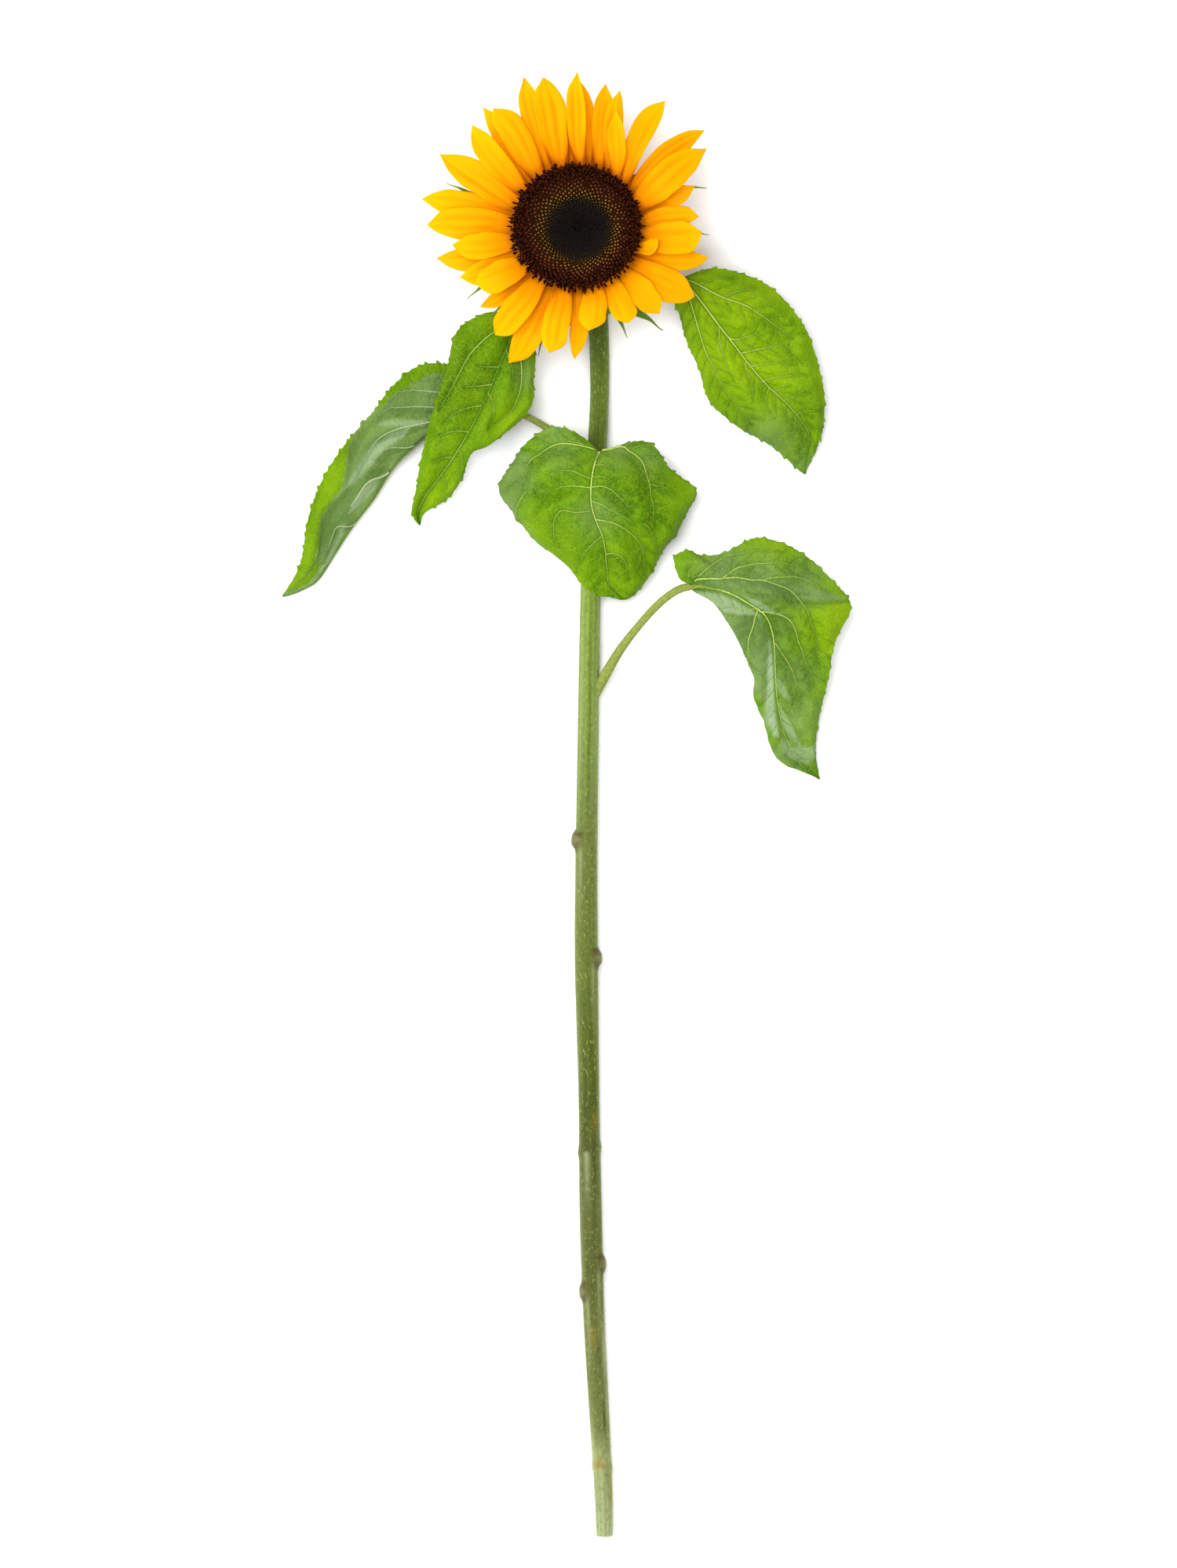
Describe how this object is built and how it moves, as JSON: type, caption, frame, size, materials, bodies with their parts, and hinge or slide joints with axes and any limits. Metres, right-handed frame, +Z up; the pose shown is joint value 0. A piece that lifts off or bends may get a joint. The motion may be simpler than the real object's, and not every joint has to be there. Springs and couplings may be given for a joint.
{
  "type": "cut sunflower",
  "caption": "Cut sunflower lying face up: green stem with bent neck, heart-shaped leaves, yellow rays around a dark brown disc.",
  "frame": {"origin": "middle of the flower's footprint, on the surface that it lies on", "axes": "+Y along the stem from the cut end to the head, +Z up out of the disc's face, +X to the right of the head"},
  "size_m": [0.2892, 0.7446, 0.0484],
  "materials": {
    "stem_green": "satin",
    "receptacle_green": "matte",
    "disc_brown": "matte",
    "disc_maroon": "matte",
    "ray_yellow": "satin",
    "bract_green": "matte",
    "leaf_green": "satin"
  },
  "bodies": {
    "root": {"stem": "stem_green", "receptacle": "receptacle_green", "disc_buds": "disc_brown", "disc_open_florets": "disc_maroon", "ray_01": "ray_yellow", "ray_02": "ray_yellow", "ray_03": "ray_yellow", "ray_04": "ray_yellow", "ray_05": "ray_yellow", "ray_06": "ray_yellow", "ray_07": "ray_yellow", "ray_08": "ray_yellow", "ray_09": "ray_yellow", "ray_10": "ray_yellow", "ray_11": "ray_yellow", "ray_12": "ray_yellow", "ray_13": "ray_yellow", "ray_14": "ray_yellow", "ray_15": "ray_yellow", "ray_16": "ray_yellow", "ray_17": "ray_yellow", "ray_18": "ray_yellow", "ray_19": "ray_yellow", "ray_20": "ray_yellow", "ray_21": "ray_yellow", "ray_22": "ray_yellow", "ray_23": "ray_yellow", "ray_24": "ray_yellow", "ray_25": "ray_yellow", "ray_26": "ray_yellow", "ray_27": "ray_yellow", "ray_28": "ray_yellow", "ray_29": "ray_yellow", "ray_30": "ray_yellow", "ray_31": "ray_yellow", "ray_32": "ray_yellow", "ray_33": "ray_yellow", "ray_34": "ray_yellow", "ray_35": "ray_yellow", "bract_01": "bract_green", "bract_02": "bract_green", "bract_03": "bract_green", "bract_04": "bract_green", "bract_05": "bract_green", "bract_06": "bract_green", "bract_07": "bract_green", "bract_08": "bract_green", "bract_09": "bract_green", "bract_10": "bract_green", "bract_11": "bract_green", "bract_12": "bract_green", "bract_13": "bract_green", "bract_14": "bract_green", "bract_15": "bract_green", "bract_16": "bract_green", "leaf_upper_right": "leaf_green", "leaf_upper_left": "leaf_green", "leaf_far_left": "leaf_green", "leaf_centre": "leaf_green", "leaf_lower_right": "leaf_green"}
  },
  "joints": []
}
